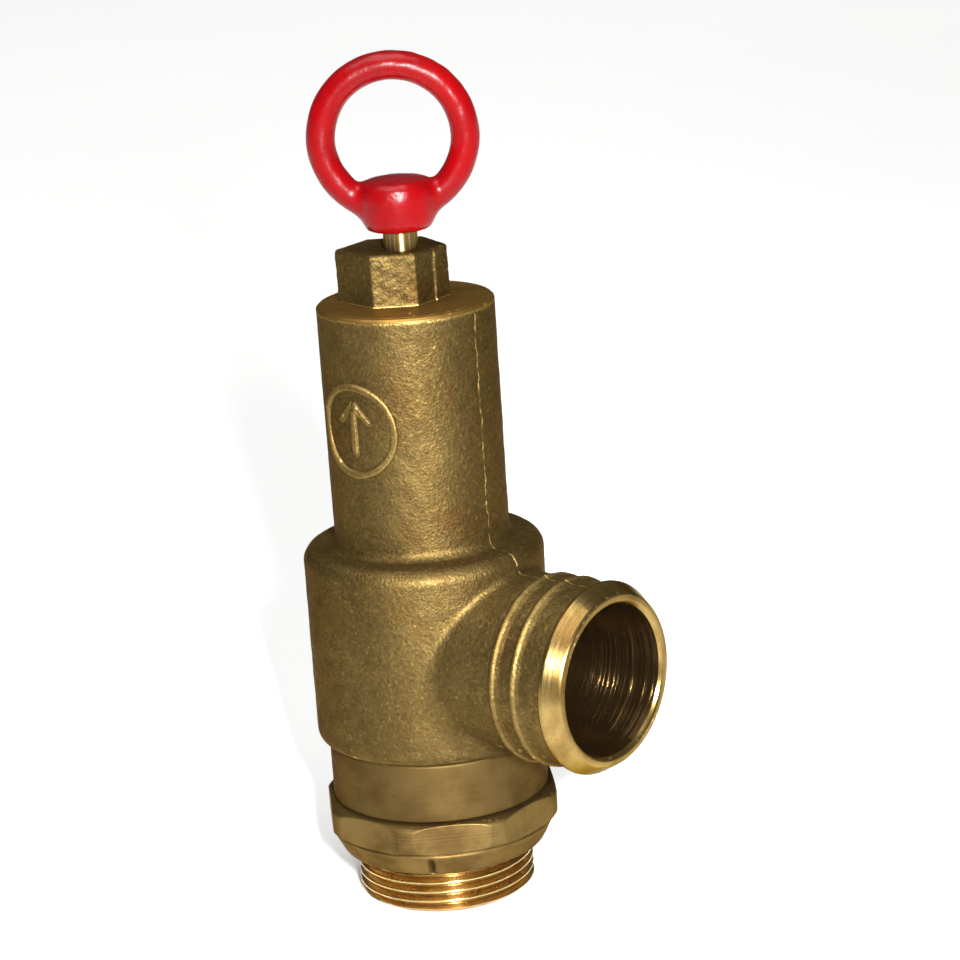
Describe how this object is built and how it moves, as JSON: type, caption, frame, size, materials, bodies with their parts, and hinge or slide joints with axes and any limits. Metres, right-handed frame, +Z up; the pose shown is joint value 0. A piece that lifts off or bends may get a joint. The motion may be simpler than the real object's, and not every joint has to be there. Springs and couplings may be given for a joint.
{
  "type": "pressure relief valve",
  "caption": "Angle pressure relief valve: pipe-threaded inlet below, barbed hose tail to the side, cast bonnet with a hexagonal adjusting screw and a pull ring that lifts the disc.",
  "frame": {"origin": "centre of the inlet thread's end face", "axes": "+Z up along the valve axis to the pull ring, +X along the hose tail"},
  "size_m": [0.0834, 0.0564, 0.201],
  "materials": {
    "cast_brass": "rough sand cast",
    "turned_brass": "turned",
    "gasket_fibre": "pressed fibre",
    "spring_steel": "drawn",
    "zinc_steel": "zinc plated",
    "seal_rubber": "matt",
    "red_paint": "glossy"
  },
  "bodies": {
    "housing": {"valve_body": "cast_brass", "inlet_nipple": "turned_brass", "nipple_gasket": "gasket_fibre", "spindle_guide": "turned_brass", "guide_circlip": "spring_steel"},
    "lifter": {"valve_disc": "turned_brass", "disc_seal": "seal_rubber", "seal_plate": "zinc_steel", "lock_washer": "spring_steel", "seal_nut": "zinc_steel", "stem_circlip": "spring_steel", "lower_spring_plate": "zinc_steel"},
    "stem": {"spindle": "turned_brass", "eye_ring": "red_paint"},
    "carriage": {"upper_spring_plate": "zinc_steel", "spring": "spring_steel"},
    "screw": {"adjusting_screw": "cast_brass", "guide_bush": "turned_brass", "spindle_seal": "seal_rubber"}
  },
  "joints": [
    {"name": "lift", "type": "slide", "parent": "housing", "child": "lifter", "axis": [0, 0, 1], "range_m": [0, 0.006], "stiffness_N_per_m": 12000, "springref_m": -0.014, "deforming": ["spring"]},
    {"name": "ring_swivel", "type": "hinge", "parent": "lifter", "child": "stem", "pos_m": [0, 0, 0.12], "axis": [0, 0, 1], "continuous": true},
    {"name": "screw_travel", "type": "slide", "parent": "housing", "child": "carriage", "axis": [0, 0, 1], "range_m": [0, 0.003], "deforming": ["spring"]},
    {"name": "screw_turn", "type": "hinge", "parent": "carriage", "child": "screw", "pos_m": [0, 0, 0.15], "axis": [0, 0, 1], "range_deg": [0, 721]}
  ],
  "couplings": [
    {"joint": "screw_turn", "follows": "screw_travel", "rad_per_m": 4188.8}
  ]
}
